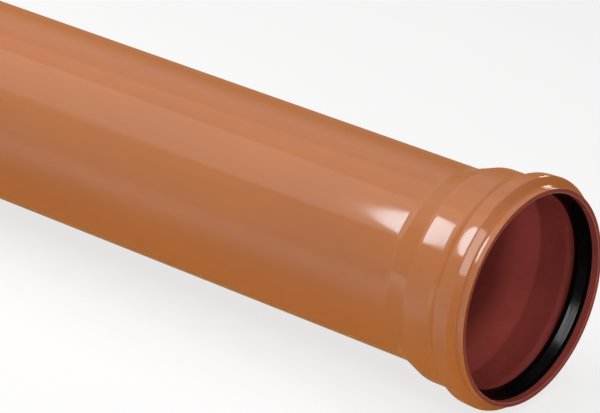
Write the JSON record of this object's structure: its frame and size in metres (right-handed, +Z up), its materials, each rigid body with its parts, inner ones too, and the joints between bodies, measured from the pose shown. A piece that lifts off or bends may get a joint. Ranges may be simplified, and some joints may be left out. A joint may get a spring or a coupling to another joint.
{
  "type": "pvc pipe",
  "caption": "Belled sewer pipe with a plain bevelled spigot at one end and a socket with a ring groove and lip seal at the other.",
  "frame": {"origin": "bottom centre of the bounding box: on the floor, under the middle of the pipe's length", "axes": "X along the pipe's axis, +X out of the socket's mouth; +Z up with the pipe lying on its side"},
  "size_m": [2.112, 0.3735, 0.3738],
  "materials": {
    "pvc": "satin",
    "seal_rubber": "satin"
  },
  "bodies": {
    "root": {"pipe": "pvc", "seal_ring": "seal_rubber"}
  },
  "joints": []
}
